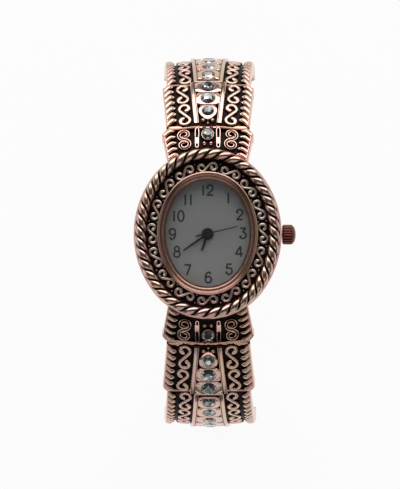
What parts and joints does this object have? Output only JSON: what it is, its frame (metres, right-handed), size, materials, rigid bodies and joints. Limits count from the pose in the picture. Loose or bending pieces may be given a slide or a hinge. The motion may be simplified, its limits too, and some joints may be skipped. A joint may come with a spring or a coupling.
{
  "type": "bangle watch",
  "caption": "Bangle watch with an oval rope-edged case, scrollwork bezel, plain dial, fluted crown and two stepped, stone-set arms on sprung hinges.",
  "frame": {"origin": "centre of the case back's flat outer face", "axes": "+Z the way the dial faces, +Y towards 12 o'clock and along the upper arm, +X towards the crown"},
  "size_m": [0.029, 0.0706, 0.0457],
  "materials": {
    "rose_metal": "antiqued rose plating",
    "rose_polished": "polished rose plating",
    "dark_rose": "dark rose plating",
    "steel": "satin",
    "rubber": "matte",
    "glass": "clear",
    "dial": "satin grey",
    "holder": "matte",
    "plate": "satin",
    "board": "matte",
    "copper": "wound wire",
    "can": "satin",
    "black": "gloss black",
    "stone": "faceted"
  },
  "bodies": {
    "case": {"case_body": "rose_metal", "case_back": "steel", "case_back_gasket": "rubber", "bezel_ring": "rose_polished", "bezel_rope": "rose_metal", "bezel_scrolls": "rose_metal", "glass": "glass", "glass_gasket": "rubber", "dial": "dial", "movement_holder": "holder", "main_plate": "plate", "train_bridge": "steel", "circuit_block": "board", "coil": "copper", "stator": "steel", "battery": "steel", "quartz_crystal": "can", "crown_tube": "steel", "upper_end_piece": "rose_metal", "lower_end_piece": "rose_metal", "end_piece_edging": "rose_metal", "end_piece_scrolls": "rose_metal", "end_piece_settings": "rose_metal", "end_piece_stones": "stone", "upper_hinge_pin": "steel", "lower_hinge_pin": "steel", "upper_hinge_spring": "steel", "lower_hinge_spring": "steel"},
    "stem_carriage": {"setting_lever": "steel"},
    "crown": {"stem": "steel", "crown": "dark_rose", "crown_gasket": "rubber"},
    "seconds": {"seconds_wheel": "plate", "second_hand": "black"},
    "minutes": {"centre_wheel": "plate", "minute_hand": "black"},
    "hours": {"hour_wheel": "plate", "hour_hand": "black"},
    "third_wheel": {"third_wheel": "plate"},
    "fifth_wheel": {"fifth_wheel": "plate"},
    "rotor": {"rotor": "steel"},
    "minute_wheel": {"minute_wheel": "plate"},
    "upper_arm": {"upper_arm": "rose_metal", "upper_arm_edging": "rose_metal", "upper_arm_scrolls": "rose_metal", "upper_arm_settings": "rose_metal", "upper_arm_stones": "stone"},
    "lower_arm": {"lower_arm": "rose_metal", "lower_arm_edging": "rose_metal", "lower_arm_scrolls": "rose_metal", "lower_arm_settings": "rose_metal", "lower_arm_stones": "stone"}
  },
  "joints": [
    {"name": "upper_arm_hinge", "type": "hinge", "parent": "case", "child": "upper_arm", "pos_m": [0, 0.01917, 0.00128], "axis": [1, 0, 0], "range_deg": [0, 16], "stiffness_Nm_per_rad": 0.06, "springref_deg": -17.19},
    {"name": "lower_arm_hinge", "type": "hinge", "parent": "case", "child": "lower_arm", "pos_m": [0, -0.01917, 0.00128], "axis": [-1, 0, 0], "range_deg": [0, 16], "stiffness_Nm_per_rad": 0.06, "springref_deg": -17.19},
    {"name": "crown_pull", "type": "slide", "parent": "case", "child": "stem_carriage", "axis": [1, 0, 0], "range_m": [0, 0.0009]},
    {"name": "crown_turn", "type": "hinge", "parent": "stem_carriage", "child": "crown", "pos_m": [0.014, 0, 0.0028], "axis": [1, 0, 0], "continuous": true},
    {"name": "seconds_turn", "type": "hinge", "parent": "case", "child": "seconds", "pos_m": [0, 0, 0.004], "axis": [0, 0, -1], "continuous": true},
    {"name": "minutes_turn", "type": "hinge", "parent": "case", "child": "minutes", "pos_m": [0, 0, 0.004], "axis": [0, 0, -1], "continuous": true},
    {"name": "hours_turn", "type": "hinge", "parent": "case", "child": "hours", "pos_m": [0, 0, 0.0045], "axis": [0, 0, -1], "continuous": true},
    {"name": "third_wheel_turn", "type": "hinge", "parent": "case", "child": "third_wheel", "pos_m": [-0.00044, 0.00251, 0.0025], "axis": [0, 0, -1], "continuous": true},
    {"name": "fifth_wheel_turn", "type": "hinge", "parent": "case", "child": "fifth_wheel", "pos_m": [-0.00203, 0.00074, 0.0025], "axis": [0, 0, -1], "continuous": true},
    {"name": "rotor_turn", "type": "hinge", "parent": "case", "child": "rotor", "pos_m": [-0.00351, 0.0002, 0.0025], "axis": [0, 0, -1], "continuous": true},
    {"name": "minute_wheel_turn", "type": "hinge", "parent": "case", "child": "minute_wheel", "pos_m": [0.0017, 0.0017, 0.0042], "axis": [0, 0, -1], "continuous": true}
  ],
  "couplings": [
    {"joint": "minutes_turn", "follows": "seconds_turn", "ratio": 0.016667},
    {"joint": "hours_turn", "follows": "seconds_turn", "ratio": 0.0013889},
    {"joint": "third_wheel_turn", "follows": "seconds_turn", "ratio": -0.13333},
    {"joint": "fifth_wheel_turn", "follows": "seconds_turn", "ratio": -5},
    {"joint": "rotor_turn", "follows": "seconds_turn", "ratio": 30},
    {"joint": "minute_wheel_turn", "follows": "seconds_turn", "ratio": -0.0055556}
  ]
}
